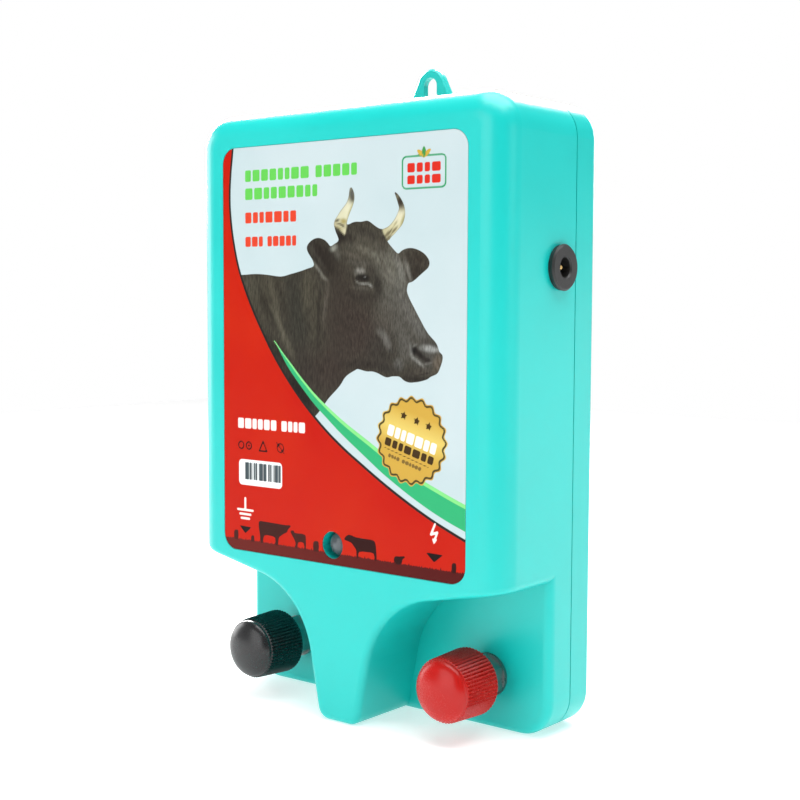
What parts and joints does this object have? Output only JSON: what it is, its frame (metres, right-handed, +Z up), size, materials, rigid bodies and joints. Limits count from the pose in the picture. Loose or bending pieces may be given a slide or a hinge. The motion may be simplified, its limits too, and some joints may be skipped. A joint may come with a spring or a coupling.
{
  "type": "electric fence energizer",
  "caption": "Wall-hung electric fence energizer: flat plastic case with a printed front, pulse lamp, side supply socket, hanging eye and a screw-down knob terminal on each side of its nose.",
  "frame": {"origin": "middle of the case's flat back face, which lies against the wall", "axes": "+X to the viewer's right, +Y into the wall, +Z up; the label faces -Y"},
  "size_m": [0.1443, 0.0577, 0.2381],
  "materials": {
    "case": "semi-gloss moulded turquoise plastic",
    "cover": "semi-gloss moulded turquoise plastic",
    "label": "printed and laminated film",
    "lamp": "clear moulded lens",
    "steel": "zinc plated",
    "red_knob": "semi-gloss moulded red plastic",
    "black_knob": "semi-gloss moulded black plastic",
    "brass": "machined",
    "tinned": "tinned copper",
    "board": "green solder mask",
    "lamination": "varnished steel laminations",
    "former": "moulded nylon",
    "winding": "enamelled copper wire",
    "secondary": "copper wire under amber tape",
    "film_case": "moulded red plastic",
    "can": "dark sleeve",
    "ferrite": "ground ferrite",
    "sink": "extruded",
    "device": "moulded epoxy",
    "resistor": "lacquered",
    "fuse_glass": "clear glass",
    "block": "moulded nylon",
    "socket": "moulded black nylon",
    "red_wire": "PVC",
    "black_wire": "PVC"
  },
  "bodies": {
    "case": {"front_housing": "case", "back_cover": "cover", "front_label": "label", "case_screws": "steel", "pulse_lamp": "lamp", "pulse_lamp_legs": "tinned", "circuit_board": "board", "board_screws": "steel", "pulse_transformer_core": "lamination", "pulse_transformer_former": "former", "primary_winding": "winding", "secondary_winding": "secondary", "storage_capacitor": "film_case", "converter_core": "ferrite", "converter_former": "former", "converter_winding": "winding", "electrolytic_capacitors": "can", "heat_sink": "sink", "thyristor": "device", "thyristor_screw": "steel", "fuse_tube": "fuse_glass", "fuse_caps": "tinned", "fuse_clips": "tinned", "control_chip": "device", "resistors": "resistor", "rectifier_diodes": "device", "output_block": "block", "input_block": "block", "block_screws": "steel", "supply_socket": "socket", "supply_socket_pin": "brass", "supply_socket_nut": "socket", "supply_socket_contact": "brass", "positive_supply_lead": "red_wire", "negative_supply_lead": "black_wire", "earth_stud": "steel", "earth_lug": "tinned", "earth_inner_washer": "steel", "earth_seat_washer": "steel", "earth_nut": "steel", "earth_output_lead": "black_wire", "fence_stud": "steel", "fence_lug": "tinned", "fence_inner_washer": "steel", "fence_seat_washer": "steel", "fence_nut": "steel", "fence_output_lead": "red_wire"},
    "earth_washer_body": {"earth_clamp_washer": "steel"},
    "earth_knob_body": {"earth_knob": "black_knob", "earth_knob_insert": "brass"},
    "fence_washer_body": {"fence_clamp_washer": "steel"},
    "fence_knob_body": {"fence_knob": "red_knob", "fence_knob_insert": "brass"}
  },
  "joints": [
    {"name": "earth_knob_travel", "type": "slide", "parent": "case", "child": "earth_washer_body", "axis": [0, -1, 0], "range_m": [0, 0.0041]},
    {"name": "earth_knob_turn", "type": "hinge", "parent": "earth_washer_body", "child": "earth_knob_body", "pos_m": [-0.0454, 0, -0.0907], "axis": [0, -1, 0], "range_deg": [0, 1440]},
    {"name": "fence_knob_travel", "type": "slide", "parent": "case", "child": "fence_washer_body", "axis": [0, -1, 0], "range_m": [0, 0.0041]},
    {"name": "fence_knob_turn", "type": "hinge", "parent": "fence_washer_body", "child": "fence_knob_body", "pos_m": [0.0454, 0, -0.0907], "axis": [0, -1, 0], "range_deg": [0, 1440]}
  ],
  "couplings": [
    {"joint": "earth_knob_travel", "follows": "earth_knob_turn", "m_per_rad": 0.00015915},
    {"joint": "fence_knob_travel", "follows": "fence_knob_turn", "m_per_rad": 0.00015915}
  ]
}
